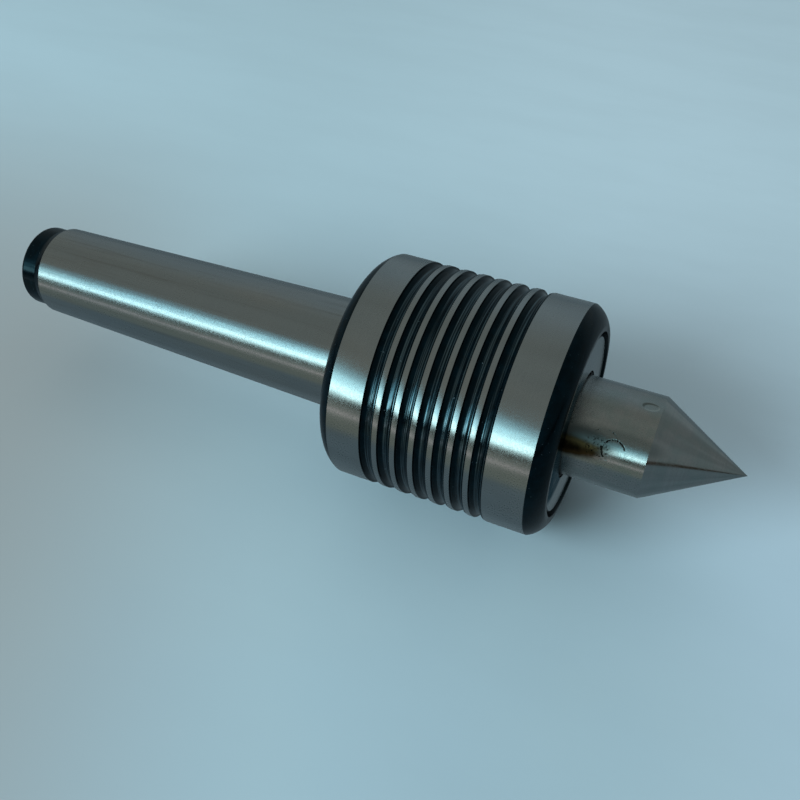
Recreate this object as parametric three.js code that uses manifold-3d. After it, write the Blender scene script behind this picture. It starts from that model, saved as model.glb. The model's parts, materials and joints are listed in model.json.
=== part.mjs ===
// Live centre with a Morse taper shank: a revolving 60 degree point in a grooved housing.
// Millimetres, axis of rotation along +X with the point at +X.
// x = 0 is the gauge plane of the taper, where its diameter is gaugeDiameter.
import * as THREE from 'three';
import { mergeVertices } from 'three/addons/utils/BufferGeometryUtils.js';
import Module from 'manifold-3d';

const wasm = await Module();
wasm.setup();

// ---- driving dimensions -------------------------------------------------------------

// Morse taper no. 3 shank
const gaugeRadius = 23.825 / 2;
const taperSlope = 1 / (2 * 19.922);
const shoulderX = 5;
const taperEndX = -74;
const shankEndX = -80;
const tailRadius = 9.2;
const tailEdge = 0.9;
const tailEdgeSagitta = 0.26;
const tailShoulder = { rear: -75.8, front: -75.1, rise: 0.3, sagitta: 0.12 };
const centreHole = { mouth: 3.4, pilot: 1.6, coneEnd: -76.9, bottom: -73.5 };

// housing barrel
const barrelRadius = 23.75;
const barrelLength = 46.7;
const cornerLength = 3.2;
const cornerDrop = 3.6;
const cornerSagitta = 0.5;
const rearBand = 6.95;
const grooveCount = 7;
const grooveWidth = 2.72;
const grooveDepth = 0.9;
const grooveStep = 0.18;
const grooveFloorDip = 0.3;
const ridgeWidth = 1.03;

// bores in the housing, each as radius and rear end
const coverBore = { radius: 19.0, rear: 46.3 };
const bearingBore = { radius: 17.5, rear: 35.7 };
const thrustBore = { radius: 14.2, rear: 22.3 };
const needleBore = { radius: 10.65, rear: 6.5 };

// spindle
const spindleRadius = 10.18;
const halfPointAngle = THREE.MathUtils.degToRad(30);
const tipX = 84.15;
const tipFlat = 0.06;
const bearingSeat = { radius: 8.5, front: 46.2 };
const needleSeat = { radius: 7.5, front: 32 };
const spindleRearX = 6.9;
const spindleEdge = 0.5;
const snapGroove = { radius: 7.95, rear: 34.4, front: 35.75 };

// deep-groove ball bearing, 17 x 35 x 10
const ballBearing = {
  rear: 36, front: 46, innerBore: 8.65, innerOuter: 10.9, outerInner: 15.2, outerOuter: 17.3,
  pitchRadius: 13.05, ballRadius: 2.38, raceRadius: 2.72, balls: 10,
  cageInner: 12.3, cageOuter: 13.8, cageHalfWidth: 3.5, shieldInset: 0.3, shieldThick: 0.5,
};

// thrust ball bearing, 15 x 28 x 9
const thrust = {
  middle: 27.2, faceGap: 1.8, washerThick: 2.8, shaftBore: 7.7, housingBore: 7.95, outer: 13.85,
  pitchRadius: 10.75, ballRadius: 2.2, raceRadius: 2.5, balls: 10,
  cageInner: 8.1, cageOuter: 13.4, cageHalfWidth: 0.9,
};

// drawn-cup needle bearing, 15 x 21 x 15
const needle = {
  rear: 7, front: 21.8, cupOuter: 10.45, cupInner: 9.78, lipInner: 8.0, lipThick: 0.8,
  rollerRadius: 1.03, pitchRadius: 8.63, rollerRear: 8.7, rollerFront: 20.1, rollers: 12,
  cageRear: 8.1, cageFront: 20.7, cageInner: 8.2, cageOuter: 9.1, slotRadius: 1.33, slotEnd: 0.3,
};

// front cover ring, dust seal and snap ring
const cover = { rear: 46.6, front: 51.3, bore: 11.0, outer: 18.75, bevel: 0.9 };
const sealGroove = { rear: 47.4, front: 50.2, radius: 13.0 };
const seal = { rear: 47.7, front: 49.9, lipFront: 51.1, inner: 10.42, lipOuter: 10.75, outer: 12.7 };
const snap = { rear: 34.6, front: 35.55, inner: 8.2, outer: 10.1, gapAngle: 0.5 };

const HOUSING_SIDES = 32;
const RING_SIDES = 24;
const POCKET_SIDES = 10;
const ROLLER_SIDES = 8;
const RACE_STEPS = 4;
const CORNER_STEPS = 4;
const clearance = 0.3;
const pocketReach = 6;

// ---- materials ----------------------------------------------------------------------

const steel = (color, roughness) => () =>
  new THREE.MeshStandardMaterial({ color, roughness, metalness: 1 });
const blackedSteel = steel(0x20262c, 0.38);
const groundSteel = steel(0x8a9094, 0.32);
const bearingSteel = steel(0xb4b8bc, 0.18);
const cageSteel = steel(0xa08a55, 0.4);
const springSteel = steel(0x4a4d52, 0.4);
const sealRubber = () =>
  new THREE.MeshStandardMaterial({ color: 0x121315, roughness: 0.8, metalness: 0 });

// ---- helpers ------------------------------------------------------------------------

const part = new THREE.Group();

function addMesh(name, geometry, material) {
  const mesh = new THREE.Mesh(geometry, material());
  mesh.name = name;
  part.add(mesh);
  return mesh;
}

// Solid of revolution about X from [x, r] points that run tip to tail along the outside.
function revolve(points, sides) {
  const profile = points.map(([x, r]) => new THREE.Vector2(r, x));
  const geometry = new THREE.LatheGeometry(profile, sides);
  geometry.rotateZ(-Math.PI / 2);
  return geometry;
}

// Closed ring section: [x, r] points in order, first point repeated at the end.
function revolveRing(points, sides) {
  return revolve([...points, points[0]], sides);
}

// Arc from one [x, r] point to another. It bulges by sagitta to the left of the way it runs,
// or to the right where sagitta is negative.
function arc(from, to, sagitta, steps) {
  const chordX = to[0] - from[0];
  const chordR = to[1] - from[1];
  const chord = Math.hypot(chordX, chordR);
  const depth = Math.abs(sagitta);
  const radius = (chord * chord) / (8 * depth) + depth / 2;
  const points = [];
  for (let i = 0; i <= steps; i += 1) {
    const along = (i / steps - 0.5) * chord;
    const height = Math.sqrt(radius * radius - along * along) - (radius - depth);
    const rise = Math.sign(sagitta) * height;
    points.push([
      from[0] + chordX * (i / steps) - (chordR / chord) * rise,
      from[1] + chordR * (i / steps) + (chordX / chord) * rise,
    ]);
  }
  return points;
}

// Circular raceway of the given radius, seen where it crosses a flat surface.
function raceway(centre, radius, reach, direction, steps) {
  const half = Math.acos(reach / radius);
  const points = [];
  for (let i = 0; i <= steps; i += 1) {
    const angle = direction + half * (1 - (2 * i) / steps);
    points.push([centre[0] + radius * Math.cos(angle), centre[1] + radius * Math.sin(angle)]);
  }
  return points;
}

function toSolid(geometry) {
  const bare = geometry.clone();
  bare.deleteAttribute('normal');
  bare.deleteAttribute('uv');
  const merged = mergeVertices(bare, 1e-4);
  return new wasm.Manifold(new wasm.Mesh({
    numProp: 3,
    vertProperties: new Float32Array(merged.attributes.position.array),
    triVerts: new Uint32Array(merged.index.array),
  }));
}

function toGeometry(solid) {
  const mesh = solid.getMesh();
  const geometry = new THREE.BufferGeometry();
  geometry.setAttribute('position', new THREE.BufferAttribute(mesh.vertProperties, 3));
  geometry.setIndex(new THREE.BufferAttribute(mesh.triVerts, 1));
  geometry.computeVertexNormals();
  return geometry;
}

function cut(geometry, tools) {
  const solids = tools.map(toSolid);
  return toGeometry(solids.reduce((body, tool) => body.subtract(tool), toSolid(geometry)));
}

// Places of a bearing's rolling elements: evenly spaced round X at the pitch radius.
function ringPlaces(count, x, pitchRadius) {
  return Array.from({ length: count }, (_, i) => {
    const angle = (i * 2 * Math.PI) / count;
    return [x, pitchRadius * Math.cos(angle), pitchRadius * Math.sin(angle)];
  });
}

const numbered = (stem, i) => `${stem}_${String(i + 1).padStart(2, '0')}`;

// ---- housing with its taper shank ---------------------------------------------------

const barrelFrontX = shoulderX + barrelLength;
const taperRadius = (x) => gaugeRadius + x * taperSlope;

function grooveSection(start) {
  const end = start + grooveWidth;
  const floorSide = barrelRadius - grooveDepth + grooveFloorDip;
  return [
    [start, barrelRadius],
    [start + grooveStep, barrelRadius - grooveStep],
    ...arc([start + 2 * grooveStep, floorSide], [end - 2 * grooveStep, floorSide],
      -grooveFloorDip, 2),
    [end - grooveStep, barrelRadius - grooveStep],
    [end, barrelRadius],
  ];
}

function housingProfile() {
  const grooves = [];
  for (let i = 0; i < grooveCount; i += 1) {
    const start = shoulderX + cornerLength + rearBand + i * (grooveWidth + ridgeWidth);
    grooves.push(...grooveSection(start));
  }
  const cornerFoot = barrelRadius - cornerDrop;
  return [
    [centreHole.bottom, 0],
    [centreHole.bottom, centreHole.pilot],
    [centreHole.coneEnd, centreHole.pilot],
    [shankEndX, centreHole.mouth],
    ...arc([shankEndX, tailRadius - tailEdge], [shankEndX + tailEdge, tailRadius],
      tailEdgeSagitta, 2),
    [tailShoulder.rear, tailRadius],
    ...arc([tailShoulder.front, tailRadius + tailShoulder.rise],
      [taperEndX, taperRadius(taperEndX)], tailShoulder.sagitta, 2),
    [shoulderX, taperRadius(shoulderX)],
    ...arc([shoulderX, cornerFoot], [shoulderX + cornerLength, barrelRadius],
      cornerSagitta, CORNER_STEPS),
    ...grooves,
    ...arc([barrelFrontX - cornerLength, barrelRadius], [barrelFrontX, cornerFoot],
      cornerSagitta, CORNER_STEPS),
    [barrelFrontX, coverBore.radius],
    [coverBore.rear, coverBore.radius],
    [coverBore.rear, bearingBore.radius],
    [bearingBore.rear, bearingBore.radius],
    [bearingBore.rear, thrustBore.radius],
    [thrustBore.rear, thrustBore.radius],
    [thrustBore.rear, needleBore.radius],
    [needleBore.rear, needleBore.radius],
    [needleBore.rear, 0],
  ];
}

addMesh('housing_with_shank', revolve(housingProfile(), HOUSING_SIDES), blackedSteel);

// ---- spindle ------------------------------------------------------------------------

const coneBaseX = tipX - spindleRadius / Math.tan(halfPointAngle);

function spindleProfile() {
  return [
    [spindleRearX, 0],
    [spindleRearX, needleSeat.radius - spindleEdge],
    [spindleRearX + spindleEdge, needleSeat.radius],
    [needleSeat.front, needleSeat.radius],
    [needleSeat.front, bearingSeat.radius],
    [snapGroove.rear, bearingSeat.radius],
    [snapGroove.rear, snapGroove.radius],
    [snapGroove.front, snapGroove.radius],
    [snapGroove.front, bearingSeat.radius],
    [bearingSeat.front, bearingSeat.radius],
    [bearingSeat.front, spindleRadius],
    [coneBaseX, spindleRadius],
    [tipX - tipFlat / Math.tan(halfPointAngle), tipFlat],
    [tipX - tipFlat, 0],
  ];
}

addMesh('spindle', revolve(spindleProfile(), HOUSING_SIDES), groundSteel);

// ---- front cover, dust seal and snap ring -------------------------------------------

addMesh('front_cover', revolveRing([
  [cover.rear, cover.bore],
  [cover.rear, cover.outer],
  [cover.front - cover.bevel, cover.outer],
  [cover.front, cover.outer - cover.bevel],
  [cover.front, cover.bore],
  [sealGroove.front, cover.bore],
  [sealGroove.front, sealGroove.radius],
  [sealGroove.rear, sealGroove.radius],
  [sealGroove.rear, cover.bore],
], HOUSING_SIDES), groundSteel);

addMesh('dust_seal', revolveRing([
  [seal.rear, seal.inner],
  [seal.rear, seal.outer],
  [seal.front, seal.outer],
  [seal.front, seal.lipOuter],
  [seal.lipFront, seal.lipOuter],
  [seal.lipFront, seal.inner],
], HOUSING_SIDES), sealRubber);

function snapRingGeometry() {
  const start = snap.gapAngle / 2;
  const shape = new THREE.Shape();
  shape.absarc(0, 0, snap.outer, start, 2 * Math.PI - start, false);
  shape.absarc(0, 0, snap.inner, 2 * Math.PI - start, start, true);
  shape.closePath();
  const geometry = new THREE.ExtrudeGeometry(shape, {
    depth: snap.front - snap.rear, bevelEnabled: false, curveSegments: 12,
  });
  geometry.rotateY(Math.PI / 2);
  geometry.translate(snap.rear, 0, 0);
  return geometry;
}

addMesh('snap_ring', snapRingGeometry(), springSteel);

// ---- front ball bearing -------------------------------------------------------------

const bearingMiddle = (ballBearing.rear + ballBearing.front) / 2;
const bearingCentre = [bearingMiddle, ballBearing.pitchRadius];

addMesh('front_bearing_inner_ring', revolveRing([
  [ballBearing.rear, ballBearing.innerBore],
  [ballBearing.rear, ballBearing.innerOuter],
  ...raceway(bearingCentre, ballBearing.raceRadius,
    ballBearing.pitchRadius - ballBearing.innerOuter, -Math.PI / 2, RACE_STEPS).reverse(),
  [ballBearing.front, ballBearing.innerOuter],
  [ballBearing.front, ballBearing.innerBore],
], RING_SIDES), bearingSteel);

addMesh('front_bearing_outer_ring', revolveRing([
  [ballBearing.rear, ballBearing.outerInner],
  [ballBearing.rear, ballBearing.outerOuter],
  [ballBearing.front, ballBearing.outerOuter],
  [ballBearing.front, ballBearing.outerInner],
  ...raceway(bearingCentre, ballBearing.raceRadius,
    ballBearing.outerInner - ballBearing.pitchRadius, Math.PI / 2, RACE_STEPS).reverse(),
], RING_SIDES), bearingSteel);

function ballGeometry(radius, place) {
  const geometry = new THREE.IcosahedronGeometry(radius, 1);
  geometry.translate(...place);
  return geometry;
}

// Straight pocket through a cage at a ball's place, along X or outwards from the axis.
function pocketGeometry(radius, place, outwards) {
  const cornerRadius = radius / Math.cos(Math.PI / POCKET_SIDES);
  const geometry = new THREE.CylinderGeometry(cornerRadius, cornerRadius, pocketReach,
    POCKET_SIDES);
  if (outwards) {
    geometry.rotateX(Math.atan2(place[2], place[1]));
  } else {
    geometry.rotateZ(-Math.PI / 2);
  }
  geometry.translate(...place);
  return geometry;
}

function cageWithPockets(inner, outer, rear, front, places, pocketRadius, outwards) {
  const blank = revolveRing([[rear, inner], [rear, outer], [front, outer], [front, inner]],
    RING_SIDES);
  return cut(blank, places.map((place) => pocketGeometry(pocketRadius, place, outwards)));
}

const frontBallPlaces = ringPlaces(ballBearing.balls, bearingMiddle, ballBearing.pitchRadius);
addMesh('front_bearing_cage', cageWithPockets(
  ballBearing.cageInner, ballBearing.cageOuter,
  bearingMiddle - ballBearing.cageHalfWidth, bearingMiddle + ballBearing.cageHalfWidth,
  frontBallPlaces, ballBearing.ballRadius + clearance, true,
), cageSteel);
frontBallPlaces.forEach((place, i) => {
  addMesh(numbered('front_bearing_ball', i), ballGeometry(ballBearing.ballRadius, place),
    bearingSteel);
});

function shield(name, rear) {
  const bottom = ballBearing.innerOuter + clearance;
  const top = ballBearing.outerInner - clearance;
  const front = rear + ballBearing.shieldThick;
  addMesh(name, revolveRing([[rear, bottom], [rear, top], [front, top], [front, bottom]],
    RING_SIDES), springSteel);
}

shield('front_bearing_shield_rear', ballBearing.rear + ballBearing.shieldInset);
shield('front_bearing_shield_front',
  ballBearing.front - ballBearing.shieldInset - ballBearing.shieldThick);

// ---- thrust ball bearing ------------------------------------------------------------

const thrustCentre = [thrust.middle, thrust.pitchRadius];

addMesh('thrust_shaft_washer', revolveRing([
  [thrust.middle + thrust.faceGap, thrust.shaftBore],
  ...raceway(thrustCentre, thrust.raceRadius, thrust.faceGap, 0, RACE_STEPS).reverse(),
  [thrust.middle + thrust.faceGap, thrust.outer],
  [thrust.middle + thrust.faceGap + thrust.washerThick, thrust.outer],
  [thrust.middle + thrust.faceGap + thrust.washerThick, thrust.shaftBore],
], RING_SIDES), bearingSteel);

addMesh('thrust_housing_washer', revolveRing([
  [thrust.middle - thrust.faceGap - thrust.washerThick, thrust.housingBore],
  [thrust.middle - thrust.faceGap - thrust.washerThick, thrust.outer],
  [thrust.middle - thrust.faceGap, thrust.outer],
  ...raceway(thrustCentre, thrust.raceRadius, thrust.faceGap, Math.PI, RACE_STEPS).reverse(),
  [thrust.middle - thrust.faceGap, thrust.housingBore],
], RING_SIDES), bearingSteel);

const thrustBallPlaces = ringPlaces(thrust.balls, thrust.middle, thrust.pitchRadius);
addMesh('thrust_cage', cageWithPockets(
  thrust.cageInner, thrust.cageOuter,
  thrust.middle - thrust.cageHalfWidth, thrust.middle + thrust.cageHalfWidth,
  thrustBallPlaces, thrust.ballRadius + clearance / 2, false,
), cageSteel);
thrustBallPlaces.forEach((place, i) => {
  addMesh(numbered('thrust_ball', i), ballGeometry(thrust.ballRadius, place), bearingSteel);
});

// ---- needle bearing -----------------------------------------------------------------

addMesh('needle_cup', revolveRing([
  [needle.rear, needle.lipInner],
  [needle.rear, needle.cupOuter],
  [needle.front, needle.cupOuter],
  [needle.front, needle.lipInner],
  [needle.front - needle.lipThick, needle.lipInner],
  [needle.front - needle.lipThick, needle.cupInner],
  [needle.rear + needle.lipThick, needle.cupInner],
  [needle.rear + needle.lipThick, needle.lipInner],
], RING_SIDES), bearingSteel);

function rollerGeometry(radius, rear, front, place) {
  const geometry = new THREE.CylinderGeometry(radius, radius, front - rear, ROLLER_SIDES);
  geometry.rotateZ(-Math.PI / 2);
  geometry.translate((front + rear) / 2, place[1], place[2]);
  return geometry;
}

const rollerPlaces = ringPlaces(needle.rollers, 0, needle.pitchRadius);
const needleBlank = revolveRing([
  [needle.cageRear, needle.cageInner],
  [needle.cageRear, needle.cageOuter],
  [needle.cageFront, needle.cageOuter],
  [needle.cageFront, needle.cageInner],
], RING_SIDES);
addMesh('needle_cage', cut(needleBlank, rollerPlaces.map((place) => rollerGeometry(
  needle.slotRadius, needle.rollerRear - needle.slotEnd, needle.rollerFront + needle.slotEnd,
  place,
))), cageSteel);
rollerPlaces.forEach((place, i) => {
  addMesh(numbered('needle_roller', i),
    rollerGeometry(needle.rollerRadius, needle.rollerRear, needle.rollerFront, place),
    bearingSteel);
});

export default part;
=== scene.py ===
"""A live centre: a 60 degree point that turns in a grooved housing, part blacked, part ground."""
import json
import math

import bmesh
import bpy
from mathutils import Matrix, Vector


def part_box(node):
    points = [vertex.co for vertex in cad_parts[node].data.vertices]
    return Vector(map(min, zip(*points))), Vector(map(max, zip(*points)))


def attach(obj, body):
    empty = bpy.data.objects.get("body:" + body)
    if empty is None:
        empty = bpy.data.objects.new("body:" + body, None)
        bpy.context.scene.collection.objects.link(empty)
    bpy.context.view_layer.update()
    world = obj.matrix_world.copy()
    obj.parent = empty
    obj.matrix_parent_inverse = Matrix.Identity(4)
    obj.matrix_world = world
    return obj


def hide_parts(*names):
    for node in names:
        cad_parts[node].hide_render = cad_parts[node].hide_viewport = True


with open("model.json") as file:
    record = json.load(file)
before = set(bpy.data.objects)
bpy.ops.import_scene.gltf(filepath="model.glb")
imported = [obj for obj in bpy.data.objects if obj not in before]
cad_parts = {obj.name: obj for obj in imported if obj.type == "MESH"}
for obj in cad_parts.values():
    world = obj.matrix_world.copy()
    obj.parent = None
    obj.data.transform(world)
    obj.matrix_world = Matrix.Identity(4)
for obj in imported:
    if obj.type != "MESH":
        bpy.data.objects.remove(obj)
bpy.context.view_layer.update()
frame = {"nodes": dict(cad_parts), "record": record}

MM = 0.001

# ---- sizes, from the frame and in millimetres -------------------------------------------

HOUSING_LOW, HOUSING_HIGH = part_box("housing_with_shank")
SPINDLE_LOW, SPINDLE_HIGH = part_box("spindle")
COVER_LOW, COVER_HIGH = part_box("front_cover")
SEAL_LOW, SEAL_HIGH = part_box("dust_seal")

BARREL_R = HOUSING_HIGH[2] / MM
BARREL_FRONT = HOUSING_HIGH[0] / MM
SHANK_END = HOUSING_LOW[0] / MM
TIP = SPINDLE_HIGH[0] / MM
SPINDLE_REAR = SPINDLE_LOW[0] / MM
SPINDLE_R = SPINDLE_HIGH[2] / MM
CONE_BASE = TIP - SPINDLE_R / math.tan(math.radians(30))

BARREL_LENGTH = 46.7
BARREL_REAR = BARREL_FRONT - BARREL_LENGTH
GAUGE_R = 23.825 / 2
TAPER_SLOPE = 1 / (2 * 19.922)
TAPER_END = -74.0
TAIL_R = 9.2
TAIL_ROUND = 0.9
TAIL_STEP = 1.9

CORNER_LENGTH = 3.2
CORNER_DROP = 3.6
REAR_BAND = 6.95
GROOVES = 7
GROOVE_WIDTH = 2.72
GROOVE_DEPTH = 0.9
RIDGE_WIDTH = 1.03

COVER_BORE_R = 19.0

# the housing's bores, from the cover back: where each one ends and the radius of the next
BORE_STEPS = ((46.3, 17.5), (35.7, 14.2), (22.3, 10.65), (6.5, 0))

# the centre hole in the end of the shank
HOLE_BOTTOM = -73.5
HOLE_CONE_END = -76.9
HOLE_R = 1.6
HOLE_MOUTH_R = 3.4

# the part of the spindle that is hidden in the bearings
JOURNAL_R = 7.5
JOURNAL_END = 32.0
JOURNAL_BEVEL = 0.5
BALL_JOURNAL_R = 8.5
SNAP_GROOVE_REAR = 34.4
SNAP_GROOVE_FRONT = 35.75
SNAP_GROOVE_R = 7.95
SHOULDER_X = 46.2

# rows of faces along the spindle, close enough to carry the dent: the first and the gap
ROWS_START = 50.0
ROW_STEP = 0.3

COVER_HOLE_R = 11.0
COVER_BEVEL = 0.9
SEAL_POCKET_REAR = 47.4
SEAL_POCKET_FRONT = 50.2
SEAL_POCKET_R = 13.0
SEAL_INNER_R = 10.42
SEAL_LIP_R = 10.85
SEAL_OUTER_R = 12.7
SEAL_LIP_X = 49.9

# marks on the spindle: angles are from +Z towards +Y
DIMPLE_X = 64.24
DIMPLE_ANGLE = -2.2
DIMPLE_RADIUS = 1.1
DIMPLE_SQUEEZE = Vector((0.63, 1, 1))
DIMPLE_DEPTH = 0.12
STAIN_X = 51.5
STAIN_ANGLE = -70.0
PITS_X = 60.2
PITS_ANGLE = -62.5
PITS_RADIUS = 2.4

SIDES = 256


def on_spindle(x, angle):
    """A place on the side of the spindle in millimetres; the angle is from +Z towards +Y."""
    turn = math.radians(angle)
    return Vector((x, SPINDLE_R * math.sin(turn), SPINDLE_R * math.cos(turn)))


# ---- profiles ---------------------------------------------------------------------------

def arc(start, end, sagitta, steps):
    """Points of an arc that bulges by sagitta to the left of the way it runs."""
    chord = Vector((end[0] - start[0], end[1] - start[1]))
    depth = abs(sagitta)
    radius = chord.length_squared / (8 * depth) + depth / 2
    left = Vector((-chord.y, chord.x)).normalized() * math.copysign(1, sagitta)
    points = []
    for i in range(steps + 1):
        along = (i / steps - 0.5) * chord.length
        rise = math.sqrt(radius * radius - along * along) - (radius - depth)
        point = Vector(start) + chord * (i / steps) + left * rise
        points.append((point.x, point.y))
    return points


class Profile:
    """Points (x, r) in millimetres, each with the material of the stretch that starts there."""

    def __init__(self):
        self.points = []

    def run(self, material, points):
        """Adds points in order; one at the same place as the last takes over from it."""
        for x, r in points:
            if self.points and math.dist((x, r), self.points[-1][:2]) < 1e-4:
                self.points.pop()
            self.points.append((x, r, material))

    def softened(self, radius, closed=False, steps=3):
        """The same outline with its sharp corners rounded to about this radius."""
        points = self.points
        count = len(points)
        result = []
        for i, (x, r, material) in enumerate(points):
            at_end = not closed and i in (0, count - 1)
            here = Vector((x, r))
            before = Vector(points[i - 1][:2]) - here
            after = Vector(points[(i + 1) % count][:2]) - here
            if at_end or before.length < 1e-6 or after.length < 1e-6:
                result.append((x, r, material))
                continue
            turn = math.pi - before.angle(after)
            if turn < math.radians(16):
                result.append((x, r, material))
                continue
            reach = min(radius * math.tan(turn / 2), 0.4 * before.length, 0.4 * after.length)
            start = here + before.normalized() * reach
            end = here + after.normalized() * reach
            earlier = points[i - 1][2]
            for k in range(steps + 1):
                t = k / steps
                point = start * (1 - t) ** 2 + here * (2 * t * (1 - t)) + end * t ** 2
                result.append((point.x, point.y, earlier if k < steps / 2 else material))
        return result


def lathe(name, points, materials, sides=SIDES, closed=False, sharp_angle=50):
    """A solid of revolution about X from points (x, r, material place) in millimetres."""
    mesh = bmesh.new()
    rings = []
    for x, r, _ in points:
        if r < 1e-6:
            rings.append([mesh.verts.new((x * MM, 0, 0))])
            continue
        ring = []
        for k in range(sides):
            angle = 2 * math.pi * k / sides
            y = r * math.sin(angle)
            z = r * math.cos(angle)
            ring.append(mesh.verts.new((x * MM, y * MM, z * MM)))
        rings.append(ring)
    pairs = list(zip(rings, rings[1:]))
    if closed:
        pairs.append((rings[-1], rings[0]))
    for i, (low, high) in enumerate(pairs):
        for k in range(sides):
            after = (k + 1) % sides
            if len(low) == 1:
                corners = (low[0], high[after], high[k])
            elif len(high) == 1:
                corners = (low[k], low[after], high[0])
            else:
                corners = (low[k], low[after], high[after], high[k])
            face = mesh.faces.new(corners)
            face.material_index = points[i][2]
            face.smooth = True
    bmesh.ops.recalc_face_normals(mesh, faces=mesh.faces)
    for edge in mesh.edges:
        if len(edge.link_faces) == 2 and edge.calc_face_angle(0) > math.radians(sharp_angle):
            edge.smooth = False
    return to_object(name, mesh, materials)


def to_object(name, mesh, materials):
    data = bpy.data.meshes.new(name)
    mesh.to_mesh(data)
    mesh.free()
    for material in materials:
        data.materials.append(material)
    piece = bpy.data.objects.new(name, data)
    bpy.context.scene.collection.objects.link(piece)
    return piece


# ---- material building blocks -----------------------------------------------------------

class Nodes:
    """Short calls for the nodes of one tree."""

    def __init__(self, tree, surface):
        self.tree = tree
        self.surface = tree.nodes[surface]

    def set(self, socket, value):
        self.feed(self.surface.inputs[socket], value)

    def node(self, kind, **properties):
        node = self.tree.nodes.new(kind)
        for key, value in properties.items():
            setattr(node, key, value)
        return node

    def feed(self, socket, value):
        if isinstance(value, bpy.types.NodeSocket):
            self.tree.links.new(value, socket)
        else:
            socket.default_value = value

    def math(self, operation, first, second=0.0, third=0.0, clamp=False):
        node = self.node("ShaderNodeMath", operation=operation, use_clamp=clamp)
        for socket, value in zip(node.inputs, (first, second, third)):
            self.feed(socket, value)
        return node.outputs[0]

    def between(self, value, low, high, out_low=0.0, out_high=1.0):
        """value spread from low..high to out_low..out_high, smoothly and within those limits."""
        node = self.node("ShaderNodeMapRange", interpolation_type="SMOOTHSTEP")
        for socket, number in zip(node.inputs, (value, low, high, out_low, out_high)):
            self.feed(socket, number)
        return node.outputs[0]

    def both(self, first, second):
        return self.math("MULTIPLY", first, second)

    def band(self, value, low, high, edge):
        """1 where value is from low to high, falling to 0 over edge on both sides."""
        above = self.between(value, low - edge, low)
        below = self.between(value, high + edge, high)
        return self.both(above, below)

    def mix(self, factor, first, second):
        node = self.node("ShaderNodeMix", data_type="RGBA")
        self.feed(node.inputs[0], factor)
        for socket, color in zip(node.inputs[6:8], (first, second)):
            plain = not isinstance(color, bpy.types.NodeSocket)
            self.feed(socket, (*color, 1) if plain else color)
        return node.outputs[2]


class Shader(Nodes):
    """A material with a Principled shader whose patterns are fixed to the piece."""

    def __init__(self, name, color, metallic, roughness, **sockets):
        self.material = bpy.data.materials.new(name)
        self.material.use_nodes = True
        super().__init__(self.material.node_tree, "Principled BSDF")
        self.set("Base Color", (*color, 1))
        self.set("Metallic", metallic)
        self.set("Roughness", roughness)
        for socket, value in sockets.items():
            self.set(socket, value)
        self.place = self.node("ShaderNodeTexCoord").outputs["Object"]
        split = self.node("ShaderNodeSeparateXYZ")
        self.feed(split.inputs[0], self.place)
        self.x, self.y, _ = split.outputs
        self.bump = None

    def noise(self, scale, detail=3.0, roughness=0.5, stretch=(1, 1, 1)):
        """Noise with features about 1 / scale millimetres across, stretched along each axis."""
        mapping = self.node("ShaderNodeMapping")
        mapping.inputs["Scale"].default_value = [scale / MM / s for s in stretch]
        self.feed(mapping.inputs["Vector"], self.place)
        noise = self.node("ShaderNodeTexNoise")
        noise.inputs["Scale"].default_value = 1.0
        noise.inputs["Detail"].default_value = detail
        noise.inputs["Roughness"].default_value = roughness
        self.feed(noise.inputs["Vector"], mapping.outputs[0])
        return noise.outputs["Fac"]

    def spot(self, centre, radius, edge, squeeze=(1, 1, 1)):
        """1 inside a ball about centre (millimetres), falling to 0 over edge."""
        shifted = self.node("ShaderNodeVectorMath", operation="SUBTRACT")
        self.feed(shifted.inputs[0], self.place)
        shifted.inputs[1].default_value = [c * MM for c in centre]
        scaled = self.node("ShaderNodeVectorMath", operation="MULTIPLY")
        self.feed(scaled.inputs[0], shifted.outputs[0])
        scaled.inputs[1].default_value = [s / MM for s in squeeze]
        length = self.node("ShaderNodeVectorMath", operation="LENGTH")
        self.feed(length.inputs[0], scaled.outputs[0])
        return self.between(length.outputs["Value"], radius, radius + edge, 1.0, 0.0)

    def ring(self, centre, radius, width):
        """1 on a ring of this width inside radius about centre, in millimetres."""
        edge = 0.2
        inside = self.spot(centre, radius - edge, edge)
        core = self.spot(centre, radius - width - edge, edge)
        return self.math("SUBTRACT", inside, core, clamp=True)

    def relief(self, height, depth_mm):
        """Adds a layer of bump, depth_mm deep where height goes from 0 to 1."""
        bump = self.node("ShaderNodeBump")
        bump.inputs["Strength"].default_value = 1.0
        bump.inputs["Distance"].default_value = depth_mm * MM
        self.feed(bump.inputs["Height"], height)
        if self.bump is not None:
            self.feed(bump.inputs["Normal"], self.bump)
        self.bump = bump.outputs[0]
        self.set("Normal", self.bump)

    def round_grain(self, amount):
        """Highlights stretch along the axis, across the marks left by grinding round it."""
        tangent = self.node("ShaderNodeTangent", direction_type="RADIAL", axis="X")
        self.set("Anisotropic", amount)
        self.set("Anisotropic Rotation", 0.25)
        self.set("Tangent", tangent.outputs[0])


class Surroundings(Nodes):
    """The world's shader; x, y and z are the parts of the direction that is looked in."""

    def __init__(self, tree):
        super().__init__(tree, "Background")
        self.direction = self.node("ShaderNodeTexCoord").outputs["Generated"]
        split = self.node("ShaderNodeSeparateXYZ")
        self.feed(split.inputs[0], self.direction)
        self.x, self.y, self.z = split.outputs

    def clouds(self, scale):
        noise = self.node("ShaderNodeTexNoise")
        noise.inputs["Scale"].default_value = scale
        noise.inputs["Detail"].default_value = 3.0
        self.feed(noise.inputs["Vector"], self.direction)
        return noise.outputs["Fac"]


# ---- materials --------------------------------------------------------------------------

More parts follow.
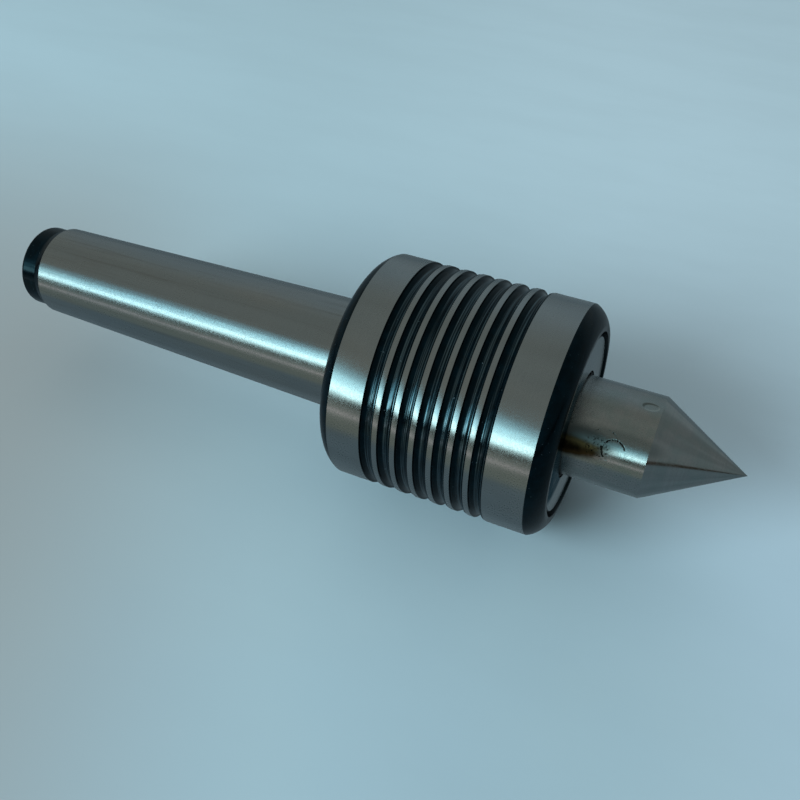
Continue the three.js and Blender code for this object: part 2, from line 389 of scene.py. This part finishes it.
STEEL = (0.55, 0.565, 0.55)
STEEL_WARM = (0.57, 0.56, 0.535)
STEEL_COOL = (0.52, 0.55, 0.555)
STEEL_DARK = (0.34, 0.35, 0.35)
RUBBED_BROWN = (0.30, 0.27, 0.24)
STEEL_HAZY = (0.42, 0.49, 0.47)
# painted shade and painted highlight for the two sides of the spindle's dent
DENT_SHADE_STEEL = (0.12, 0.125, 0.10)
DENT_HIGHLIGHT_STEEL = (0.80, 0.80, 0.72)
# near-black brown for the stain that also paints out the spindle's highlight
STAIN_AND_SHADE_BROWN = (0.022, 0.018, 0.012)
# grey for the painted shade on the spindle's highlight
PAINTED_SHADE_GREY = (0.26, 0.29, 0.28)
OIL_BROWN = (0.085, 0.056, 0.024)
# painted shade on the cover's face: its colour and its dimmed edge reflection
FACE_SHADE_BLUE = (0.030, 0.065, 0.085)
FACE_SHADE_EDGE_TINT = (0.20, 0.35, 0.42)
# near black for the pits and the stain's core, and for the painted shade round the spindle's root
MARK_AND_SHADE_BLACK = (0.01, 0.008, 0.006)
BLACKING = (0.001, 0.002, 0.003)
BLACKING_DRY = (0.0004, 0.0016, 0.0025)
BLACKING_OILED = (0.0008, 0.0045, 0.0070)
DUST_GREY = (0.22, 0.26, 0.28)
RUBBER_BLACK = (0.012, 0.012, 0.013)


def ground_steel(name, wear=0.5, grain=0.8, roughness=0.27, streaks=0.0):
    """Ground steel: a satin grain, fine lines round the axis and light handling marks."""
    shader = Shader(name, STEEL, 1.0, roughness)
    shader.round_grain(grain)
    broad = shader.noise(0.06, 2, 0.5, (2.5, 1, 1))
    cloud = shader.noise(0.4, 3, 0.5, (1.6, 1, 1))
    speckle = shader.noise(2.6, 2, 0.6)
    lines = shader.noise(5, 2, 0.6, (1, 60, 60))
    rubbed = shader.noise(1.3, 4, 0.6, (60, 1, 1))
    tone = shader.mix(shader.between(broad, 0.35, 0.65), STEEL_COOL, STEEL_WARM)
    tone = shader.mix(shader.between(lines, 0.35, 0.7, 0, 0.18 * wear), tone, STEEL_DARK)
    tone = shader.mix(shader.between(speckle, 0.45, 0.75, 0, 0.12), tone, STEEL_DARK)
    tone = shader.mix(shader.between(rubbed, 0.5, 0.75, 0, streaks), tone, RUBBED_BROWN)
    shader.tone = tone
    shader.set("Base Color", tone)
    worn = shader.between(cloud, 0.3, 0.8, roughness - 0.02 * wear, roughness + 0.05 * wear)
    fine = shader.between(speckle, 0.3, 0.7, -0.03, 0.04)
    shader.rough = shader.math("ADD", worn, fine, clamp=True)
    shader.set("Roughness", shader.rough)
    shader.relief(lines, 0.0015)
    if streaks:
        shader.relief(rubbed, 0.02 * streaks)
    return shader


def stained_spindle_steel():
    """The spindle's steel: a stain at the root, broken rings of pits, a dent and a clean cone, with
    painted shade round the root, on one side of the dent and over the highlight left of the pits,
    and a painted highlight on the dent's other side.
    """
    shader = ground_steel("ground_spindle", wear=1.0, roughness=0.25)
    patches = shader.noise(0.35, 4, 0.6)
    pits = shader.noise(2.4, 3, 0.6)
    haze = shader.noise(0.22, 4, 0.65)
    tone = shader.mix(shader.between(haze, 0.40, 0.62, 0, 0.55), shader.tone, STEEL_HAZY)

    # a brown stain made near black and laid along the line of the window's highlight left of the
    # pits: a real stain that also paints that highlight out as painted shade
    film = shader.spot(on_spindle(STAIN_X + 3, STAIN_ANGLE + 12), 1.4, 1.3, (0.35, 1, 1))
    tone = shader.mix(shader.both(film, 0.97), tone, STAIN_AND_SHADE_BROWN)
    # painted shade: a grey patch dims the upper edge of the window's highlight on the spindle,
    # making it narrower
    highlight_trim_shade = shader.spot(on_spindle(60, -50), 1.0, 1.6, (0.15, 1, 1))
    tone = shader.mix(shader.both(highlight_trim_shade, 0.7), tone, PAINTED_SHADE_GREY)
    stain = shader.spot(on_spindle(STAIN_X, STAIN_ANGLE), 0.5, 2.2, (0.28, 1, 1))
    stain = shader.both(stain, shader.between(patches, 0.25, 0.6, 0.75, 1.0))
    tone = shader.mix(shader.between(stain, 0.0, 0.55), tone, OIL_BROWN)
    tone = shader.mix(shader.between(stain, 0.55, 1.0, 0, 0.9), tone, MARK_AND_SHADE_BLACK)
    # painted shade, with some grime: the steel darkens all round the root, where it goes into the
    # seal
    root_shade_and_grime = shader.between(shader.x, 51.2 * MM, 50.5 * MM, 0, 0.85)
    root_shade_and_grime = shader.both(root_shade_and_grime, shader.between(patches, 0.3, 0.7, 0.6, 1.0))
    tone = shader.mix(root_shade_and_grime, tone, MARK_AND_SHADE_BLACK)

    dots = shader.ring(on_spindle(PITS_X, PITS_ANGLE), PITS_RADIUS, 0.34)
    gap = shader.spot(on_spindle(PITS_X + 1.7, PITS_ANGLE - 9), 2.2, 0.4)
    dots = shader.math("SUBTRACT", dots, gap, clamp=True)
    outer = shader.ring(on_spindle(PITS_X - 2.1, PITS_ANGLE + 4), PITS_RADIUS + 0.7, 0.2)
    gap = shader.spot(on_spindle(PITS_X - 0.6, PITS_ANGLE - 10), 3.2, 0.4)
    outer = shader.math("SUBTRACT", outer, gap, clamp=True)
    outer = shader.both(outer, shader.between(patches, 0.45, 0.55, 0.1, 0.9))
    dots = shader.math("MAXIMUM", dots, outer)
    dots = shader.both(dots, shader.between(pits, 0.43, 0.51))
    strays = shader.spot(on_spindle(PITS_X - 3.0, PITS_ANGLE - 2), 1.6, 1.2)
    strays = shader.both(strays, shader.between(pits, 0.57, 0.61))
    dots = shader.math("MAXIMUM", dots, strays)

    # painted shade and painted highlight: a dark crescent on one side of the dent and a pale one on
    # the other stand for the shading of its slopes
    rim = 0.15
    shrunk = DIMPLE_RADIUS - 0.2
    dent_place = on_spindle(DIMPLE_X, DIMPLE_ANGLE)
    dent_shade_end = on_spindle(DIMPLE_X + 0.35, DIMPLE_ANGLE - 1.6)
    dent_highlight_end = on_spindle(DIMPLE_X - 0.2, DIMPLE_ANGLE + 1.2)
    dent = shader.spot(dent_place, DIMPLE_RADIUS - rim, rim, DIMPLE_SQUEEZE)
    dent_painted_shade = shader.spot(dent_shade_end, shrunk, rim, DIMPLE_SQUEEZE)
    dent_painted_shade = shader.math("SUBTRACT", dent, dent_painted_shade, clamp=True)
    dent_painted_highlight = shader.spot(dent_highlight_end, shrunk, rim, DIMPLE_SQUEEZE)
    dent_painted_highlight = shader.math("SUBTRACT", dent, dent_painted_highlight, clamp=True)
    tone = shader.mix(shader.both(dent_painted_shade, 0.65), tone, DENT_SHADE_STEEL)
    tone = shader.mix(shader.both(dent_painted_highlight, 0.45), tone, DENT_HIGHLIGHT_STEEL)
    shader.set("Base Color", shader.mix(dots, tone, MARK_AND_SHADE_BLACK))

    rough = shader.math("MULTIPLY_ADD", shader.math("MAXIMUM", stain, film), 0.15, shader.rough)
    cone = shader.between(shader.x, (CONE_BASE - 0.05) * MM, (CONE_BASE + 0.05) * MM)
    rough = shader.math("MULTIPLY_ADD", cone, -0.12, rough)
    shader.set("Roughness", rough)
    shader.relief(dots, -0.03)
    return shader


def face_steel_with_painted_shade():
    """The cover's turned face, with painted shade: a dark blue patch on its -Y side beside the
    spindle, where its edge reflection is dimmed too.
    """
    shader = ground_steel("turned_face", grain=0.3, roughness=0.2)
    patches = shader.noise(0.3, 4, 0.6)
    # painted shade: the dark patch stands for the reflection and shadow that fall on the face next
    # to the spindle
    face_shade = shader.spot((COVER_HIGH[0] / MM, -10, 4), 11.0, 2.5)
    face_shade = shader.both(face_shade, shader.between(patches, 0.3, 0.6, 0.8, 1.0))
    shader.set("Base Color", shader.mix(face_shade, shader.tone, FACE_SHADE_BLUE))
    shader.set("Specular Tint", shader.mix(face_shade, (1, 1, 1), FACE_SHADE_EDGE_TINT))
    return shader


def blacked_steel(name, ior, tint=(0.40, 0.85, 1.0, 1), marks_mm=0.003, streaked=0.0):
    """Blacked steel: blue-black and glossy under a thin film of oil, with turning marks."""
    shader = Shader(name, BLACKING, 0.0, 0.15, **{"IOR": ior, "Specular Tint": tint})
    film = shader.noise(0.45, 4, 0.65)
    marks = shader.noise(6, 2, 0.6, (1, 150, 150))
    lint = shader.noise(2.4, 2, 0.4)
    tone = shader.mix(shader.between(film, 0.35, 0.7), BLACKING_DRY, BLACKING_OILED)
    dust = shader.between(lint, 0.745, 0.78, 0, 0.30)
    tone = shader.mix(dust, tone, DUST_GREY)
    shader.set("Base Color", tone)
    shader.set("Roughness", shader.between(film, 0.3, 0.75, 0.10, 0.24))
    shine = shader.between(marks, 0.44, 0.66, 0.5 - 0.42 * streaked, 0.5 + 0.5 * streaked)
    shader.set("Specular IOR Level", shine)
    shader.relief(marks, marks_mm)
    shader.relief(film, 0.006)
    return shader


def seal_rubber():
    shader = Shader("seal_rubber", RUBBER_BLACK, 0.0, 0.65)
    shader.relief(shader.noise(4, 3, 0.6), 0.02)
    return shader


# ---- lights, floor and camera -----------------------------------------------------------

CAMERA_AIM = Vector((16.77, -8.14, 0)) * MM
CAMERA_DISTANCE = 184.51 * MM
CAMERA_TURN = math.radians(24.71)
CAMERA_ELEVATION = math.radians(42.93)
CAMERA_LENS = 41.03

FLOOR_PAINT = (0.60, 0.70, 0.74)
FLOOR_NEAR = (0.60, 0.67, 0.72)
FLOOR_NEAR_PALE = (0.64, 0.70, 0.73)
# painted light and shade on the floor: darker and warmer to the near left, lighter to the near
# right and lighter still far away
FLOOR_PAINTED_SHADE_LEFT = (0.50, 0.44, 0.42)
FLOOR_PAINTED_LIGHT_RIGHT = (0.72, 0.77, 0.84)
FLOOR_PAINTED_LIGHT_FAR_LEFT = (0.74, 0.81, 0.85)
FLOOR_PAINTED_LIGHT_FAR_RIGHT = (0.90, 0.95, 1.0)
FLOOR_SMUDGE = (0.45, 0.48, 0.50)

WALL = (0.146, 0.166, 0.158)
WALL_FAR = (0.152, 0.195, 0.212)
WALL_RIGHT = (0.120, 0.150, 0.160)
BELOW = (0.096, 0.138, 0.160)
BELOW_FAR = (0.105, 0.145, 0.165)
TABLE = (0.152, 0.186, 0.170)
LEDGE = (0.035, 0.031, 0.025)
TABLE_EDGE = (0.56, 0.56, 0.58)


def aim(thing, place, target):
    thing.location = place
    thing.rotation_euler = (target - place).to_track_quat("-Z", "Y").to_euler()


def add_camera():
    camera = bpy.data.objects.new("camera", bpy.data.cameras.new("camera"))
    camera.data.lens = CAMERA_LENS
    camera.data.sensor_width = 36
    camera.data.clip_start = 0.005
    away = Vector((math.sin(CAMERA_TURN) * math.cos(CAMERA_ELEVATION),
                   -math.cos(CAMERA_TURN) * math.cos(CAMERA_ELEVATION),
                   math.sin(CAMERA_ELEVATION)))
    aim(camera, CAMERA_AIM + away * CAMERA_DISTANCE, CAMERA_AIM)
    bpy.context.scene.collection.objects.link(camera)
    bpy.context.scene.camera = camera


def add_area(name, direction, distance, size, power, color, in_reflections=True):
    """An area light that way from the middle of the barrel, facing it."""
    light = bpy.data.lights.new(name, "AREA")
    light.shape = "RECTANGLE"
    light.size, light.size_y = size
    light.energy = power
    light.color = color
    lamp = bpy.data.objects.new(name, light)
    target = Vector((0.5 * (BARREL_REAR + BARREL_FRONT) * MM, 0, 0))
    aim(lamp, target + Vector(direction).normalized() * distance, target)
    lamp.visible_glossy = in_reflections
    bpy.context.scene.collection.objects.link(lamp)


def add_floor():
    shader = Shader("floor_paint", FLOOR_PAINT, 0.0, 0.5, **{"IOR": 1.45})
    cloud = shader.noise(0.012, 3, 0.5)
    smudge = shader.noise(0.05, 4, 0.6, (3, 1, 1))
    across = shader.math("MULTIPLY_ADD", shader.y, 0.46, shader.x)
    near = shader.mix(shader.between(cloud, 0.3, 0.7), FLOOR_NEAR, FLOOR_NEAR_PALE)
    # painted light and shade: the floor's paint is darker to the near left, lighter to the near
    # right and lighter again further back
    near = shader.mix(shader.between(across, 0.0, -0.10), near, FLOOR_PAINTED_SHADE_LEFT)
    near = shader.mix(shader.between(across, 0.04, 0.11), near, FLOOR_PAINTED_LIGHT_RIGHT)
    far = shader.mix(shader.between(across, -0.05, 0.15), FLOOR_PAINTED_LIGHT_FAR_LEFT, FLOOR_PAINTED_LIGHT_FAR_RIGHT)
    tone = shader.mix(shader.between(shader.y, -0.02, 0.15), near, far)
    tone = shader.mix(shader.between(smudge, 0.3, 0.75, 0, 0.07), tone, FLOOR_SMUDGE)
    shader.set("Base Color", tone)
    shader.relief(shader.noise(0.15, 3, 0.5), 0.01)
    mesh = bmesh.new()
    bmesh.ops.create_grid(mesh, x_segments=1, y_segments=1, size=3)
    bmesh.ops.translate(mesh, verts=mesh.verts, vec=(0, 0, -BARREL_R * MM))
    floor = to_object("floor", mesh, [shader.material])
    floor.visible_glossy = False


def add_world():
    """A dim room with a dark ledge at eye level, and a table with a light edge by the window."""
    world = bpy.data.worlds.new("room")
    bpy.context.scene.world = world
    world.use_nodes = True
    shader = Surroundings(world.node_tree)
    far = shader.between(shader.y, 0.25, 0.85)
    side = shader.between(shader.x, 0.3, 0.9)
    window_side = shader.between(shader.y, -0.2, -0.6)
    beside_window = shader.both(window_side, shader.between(shader.x, 0.40, 0.15))

    upper = shader.mix(far, WALL, WALL_FAR)
    upper = shader.mix(side, upper, WALL_RIGHT)
    lower = shader.mix(far, BELOW, BELOW_FAR)
    table = shader.both(shader.band(shader.z, -0.50, -0.10, 0.08), beside_window)
    lower = shader.mix(table, lower, TABLE)
    tone = shader.mix(shader.between(shader.z, 0.01, -0.03), upper, lower)

    ledge = shader.band(shader.z, -0.07, 0.02, 0.03)
    ledge = shader.both(ledge, shader.between(shader.y, 0.3, 0.0))
    tone = shader.mix(ledge, tone, LEDGE)
    edge = shader.both(shader.band(shader.z, -0.25, -0.21, 0.015), beside_window)
    tone = shader.mix(edge, tone, TABLE_EDGE)
    shader.set("Color", tone)
    shader.set("Strength", shader.between(shader.clouds(2.2), 0.35, 0.65, 0.88, 1.12))


def add_lights():
    add_area("window_low", (-0.42, -0.88, 0.150), 1.1, (1.3, 0.17), 2.1, (0.56, 0.93, 1.0))
    add_area("window_high", (-0.42, -0.85, 0.305), 1.1, (1.3, 0.17), 1.1, (0.38, 0.84, 1.0))
    add_area("window_top", (-0.42, -0.80, 0.445), 1.1, (1.3, 0.13), 0.22, (0.25, 0.75, 1.0))
    add_area("front_daylight", (-0.50, -0.74, 0.46), 1.2, (0.8, 0.6), 13, (0.60, 0.88, 1.0), False)
    add_area("far_daylight", (-0.45, 0.75, 0.75), 1.0, (0.9, 0.9), 0.9, (0.62, 0.88, 1.0), False)
    add_area("ceiling", (0.0, 0.1, 1.0), 1.2, (1.6, 1.6), 2.8, (0.62, 0.90, 1.0), False)


# ---- pieces -----------------------------------------------------------------------------

# places in a piece's list of materials: the housing's, and then those of every other piece
BLACK, FLOOR, TAPER, BAND, INSIDE = range(5)
FIRST, SECOND = range(2)


def taper_r(x):
    return GAUGE_R + x * TAPER_SLOPE


def groove(outline, start):
    """One groove: its rear wall slopes to a flat floor, and a narrow land lies before the ridge."""
    floor = BARREL_R - GROOVE_DEPTH
    floor_edge = floor + 0.02
    land = BARREL_R - 0.13
    end = start + GROOVE_WIDTH
    outline.run(BLACK, [(start, BARREL_R), (start + 0.06, BARREL_R - 0.12)])
    outline.run(BLACK, arc((start + 0.12, BARREL_R - 0.42), (start + 0.92, floor_edge), -0.08, 5))
    outline.run(FLOOR, [(start + 0.92, floor_edge), (start + 1.35, floor),
                        (start + 1.76, floor_edge)])
    outline.run(BLACK, [(start + 1.80, floor + 0.06), (start + 2.04, land - 0.23),
                        (end - 0.50, land - 0.04)])
    outline.run(FLOOR, [(end - 0.46, land), (end - 0.26, land)])
    outline.run(BLACK, [(end - 0.22, land - 0.05), (end - 0.06, BARREL_R - 0.03), (end, BARREL_R)])


def make_housing(black, floor, taper, bands, inside):
    foot = BARREL_R - CORNER_DROP
    outline = Profile()
    outline.run(INSIDE, [(HOLE_BOTTOM, 0), (HOLE_BOTTOM, HOLE_R), (HOLE_CONE_END, HOLE_R)])
    outline.run(BLACK, [(SHANK_END, HOLE_MOUTH_R)])
    rim = (SHANK_END, TAIL_R - TAIL_ROUND)
    outline.run(BLACK, arc(rim, (SHANK_END + TAIL_ROUND, TAIL_R), 0.26, 8))
    step = (TAPER_END - TAIL_STEP, TAIL_R)
    outline.run(BLACK, arc(step, (TAPER_END, taper_r(TAPER_END)), -0.08, 5))
    outline.run(TAPER, [(TAPER_END, taper_r(TAPER_END))])
    outline.run(BLACK, [(BARREL_REAR, taper_r(BARREL_REAR))])
    outline.run(BLACK, arc((BARREL_REAR, foot), (BARREL_REAR + CORNER_LENGTH, BARREL_R), 0.5, 16))
    start = BARREL_REAR + CORNER_LENGTH
    outline.run(BAND, [(start, BARREL_R)])
    start += REAR_BAND
    for _ in range(GROOVES):
        groove(outline, start)
        outline.run(BAND, [(start + GROOVE_WIDTH, BARREL_R)])
        start += GROOVE_WIDTH + RIDGE_WIDTH
    outline.run(BLACK, arc((BARREL_FRONT - CORNER_LENGTH, BARREL_R), (BARREL_FRONT, foot), 0.5, 16))
    outline.run(BLACK, [(BARREL_FRONT, COVER_BORE_R)])
    radius = COVER_BORE_R
    for x, next_radius in BORE_STEPS:
        outline.run(INSIDE, [(x, radius), (x, next_radius)])
        radius = next_radius
    materials = [black, floor, taper, bands, inside]
    piece = lathe("housing", outline.softened(0.08, steps=2), materials, sharp_angle=60)
    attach(piece, "housing")
    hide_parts("housing_with_shank")


def make_spindle(steel, inside):
    outline = Profile()
    outline.run(SECOND, [(SPINDLE_REAR, 0), (SPINDLE_REAR, JOURNAL_R - JOURNAL_BEVEL),
                         (SPINDLE_REAR + JOURNAL_BEVEL, JOURNAL_R), (JOURNAL_END, JOURNAL_R),
                         (JOURNAL_END, BALL_JOURNAL_R), (SNAP_GROOVE_REAR, BALL_JOURNAL_R),
                         (SNAP_GROOVE_REAR, SNAP_GROOVE_R), (SNAP_GROOVE_FRONT, SNAP_GROOVE_R),
                         (SNAP_GROOVE_FRONT, BALL_JOURNAL_R), (SHOULDER_X, BALL_JOURNAL_R)])
    outline.run(FIRST, [(SHOULDER_X, SPINDLE_R), (ROWS_START, SPINDLE_R)])
    rows = int((CONE_BASE - ROWS_START) / ROW_STEP)
    outline.run(FIRST, [(ROWS_START + ROW_STEP * i, SPINDLE_R) for i in range(1, rows)])
    outline.run(FIRST, [(CONE_BASE, SPINDLE_R)])
    for share in (0.25, 0.5, 0.75, 0.9, 0.985):
        x = CONE_BASE + (TIP - CONE_BASE) * share
        outline.run(FIRST, [(x, SPINDLE_R * (1 - share))])
    outline.run(FIRST, [(TIP - 0.04, 0.05), (TIP - 0.02, 0)])
    piece = lathe("spindle_body", outline.softened(0.05), [steel, inside], sharp_angle=40)
    press_dimple(piece)
    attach(piece, "spindle")
    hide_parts("spindle")


def press_dimple(piece):
    """A shallow oval dent in the side of the spindle, close to the cone."""
    centre = on_spindle(DIMPLE_X, DIMPLE_ANGLE)
    outward = Vector((0, centre.y, centre.z)).normalized()
    for vertex in piece.data.vertices:
        away = ((vertex.co / MM - centre) * DIMPLE_SQUEEZE).length / DIMPLE_RADIUS
        if away < 1:
            vertex.co -= outward * DIMPLE_DEPTH * MM * (1 - away ** 3)


def make_cover(face, black):
    rear, front = COVER_LOW[0] / MM, COVER_HIGH[0] / MM
    outer = COVER_HIGH[2] / MM
    outline = Profile()
    outline.run(SECOND, [(rear, COVER_HOLE_R), (rear, outer), (front - COVER_BEVEL, outer)])
    outline.run(FIRST, [(front, outer - COVER_BEVEL)])
    outline.run(SECOND, [(front, COVER_HOLE_R), (SEAL_POCKET_FRONT, COVER_HOLE_R),
                         (SEAL_POCKET_FRONT, SEAL_POCKET_R), (SEAL_POCKET_REAR, SEAL_POCKET_R),
                         (SEAL_POCKET_REAR, COVER_HOLE_R)])
    piece = lathe("cover_ring", outline.softened(0.08, closed=True), [face, black], closed=True)
    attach(piece, "housing")
    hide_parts("front_cover")


def make_seal(rubber):
    rear, front = SEAL_LOW[0] / MM, SEAL_HIGH[0] / MM
    outline = Profile()
    outline.run(FIRST, [(rear, SEAL_INNER_R), (rear, SEAL_OUTER_R), (SEAL_LIP_X, SEAL_OUTER_R),
                        (SEAL_LIP_X, SEAL_LIP_R), (front, SEAL_LIP_R), (front, SEAL_INNER_R)])
    piece = lathe("seal_ring", outline.softened(0.1, closed=True), [rubber], closed=True)
    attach(piece, "housing")
    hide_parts("dust_seal")


def dress_hidden_parts(materials):
    """The bearings stay as modelled: each takes the material of its slot."""
    replaced = {"housing_with_shank", "spindle", "front_cover", "dust_seal"}
    slots = {row["node"]: row["material_slot"] for row in frame["record"]["subparts"]}
    for name, node in frame["nodes"].items():
        if name in replaced:
            continue
        node.data.materials.clear()
        node.data.materials.append(materials[slots[name]])


def main():
    add_camera()
    add_world()
    add_lights()
    add_floor()
    black = blacked_steel("blacked_steel", 1.30).material
    floor = blacked_steel("groove_floor", 2.1, (0.64, 0.90, 1.0, 1), 0.004, 1.0).material
    taper = ground_steel("ground_taper", roughness=0.235, streaks=0.35).material
    bands = ground_steel("ground_bands", roughness=0.25).material
    point = stained_spindle_steel().material
    face = face_steel_with_painted_shade().material
    bearing = ground_steel("bearing_steel", roughness=0.16).material
    rolling = ground_steel("rolling_steel", grain=0.0, roughness=0.1).material
    cage = ground_steel("cage_steel", grain=0.0, roughness=0.35).material
    rubber = seal_rubber().material
    make_housing(black, floor, taper, bands, bearing)
    make_spindle(point, bearing)
    make_cover(face, black)
    make_seal(rubber)
    dress_hidden_parts({
        "bearing_steel": bearing, "rolling_steel": rolling, "cage_steel": cage,
        "shield_steel": cage, "spring_steel": black,
    })
    bpy.context.scene.view_settings.view_transform = "Standard"


main()
